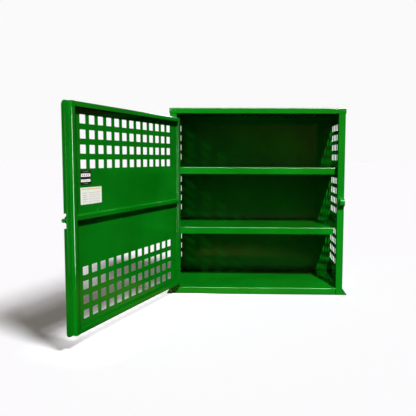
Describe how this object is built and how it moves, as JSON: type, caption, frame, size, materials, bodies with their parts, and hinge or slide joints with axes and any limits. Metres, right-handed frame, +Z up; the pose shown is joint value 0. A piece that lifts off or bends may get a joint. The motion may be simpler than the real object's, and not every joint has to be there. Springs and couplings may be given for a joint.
{
  "type": "metal tool cabinet",
  "caption": "Steel tool cabinet with perforated sides, two shelves, a perforated side-hung door and a sliding bolt latch that takes a padlock.",
  "frame": {"origin": "centre of the case's footprint, on the floor", "axes": "+X to the right as one faces the open front, -Y out of the front, +Z up"},
  "size_m": [0.7937, 0.8185, 0.647],
  "materials": {
    "enamel": "glossy green enamel",
    "zinc_steel": "zinc-plated steel",
    "warning_sticker": "printed vinyl",
    "rating_sticker": "printed vinyl"
  },
  "bodies": {
    "case": {"back_panel": "enamel", "base_tray": "enamel", "bolt_keeper": "enamel", "foot_left": "enamel", "foot_right": "enamel", "front_post_left": "enamel", "front_post_right": "enamel", "hinge_leaf_case_lower": "enamel", "hinge_leaf_case_upper": "enamel", "hinge_pin_lower": "zinc_steel", "hinge_pin_upper": "zinc_steel", "hinge_washers_lower": "zinc_steel", "hinge_washers_upper": "zinc_steel", "panel_rivets": "enamel", "shelf_bracket_lower_left": "enamel", "shelf_bracket_lower_right": "enamel", "shelf_bracket_upper_left": "enamel", "shelf_bracket_upper_right": "enamel", "shelf_lower": "enamel", "shelf_rivets": "enamel", "shelf_upper": "enamel", "side_panel_left": "enamel", "side_panel_right": "enamel", "top_panel": "enamel"},
    "door": {"bolt_guide_front": "enamel", "bolt_guide_rear": "enamel", "door_rail_bottom": "enamel", "door_rail_top": "enamel", "door_skin": "enamel", "door_stiffener": "enamel", "door_stile_free": "enamel", "door_stile_hinge": "enamel", "hinge_leaf_door_lower": "enamel", "hinge_leaf_door_upper": "enamel", "latch_backplate": "enamel", "latch_rivets": "enamel", "padlock_lug": "enamel", "rating_label": "rating_sticker", "warning_label": "warning_sticker"},
    "bolt": {"slide_bolt": "enamel", "bolt_handle": "enamel"}
  },
  "joints": [
    {"name": "door_hinge", "type": "hinge", "parent": "case", "child": "door", "pos_m": [-0.2763, -0.14375, 0], "axis": [0, 0, -1], "range_deg": [-109.5, 70]},
    {"name": "bolt_slide", "type": "slide", "parent": "door", "child": "bolt", "axis": [-0.3338, -0.9426, 0], "range_m": [-0.008, 0.02]}
  ]
}
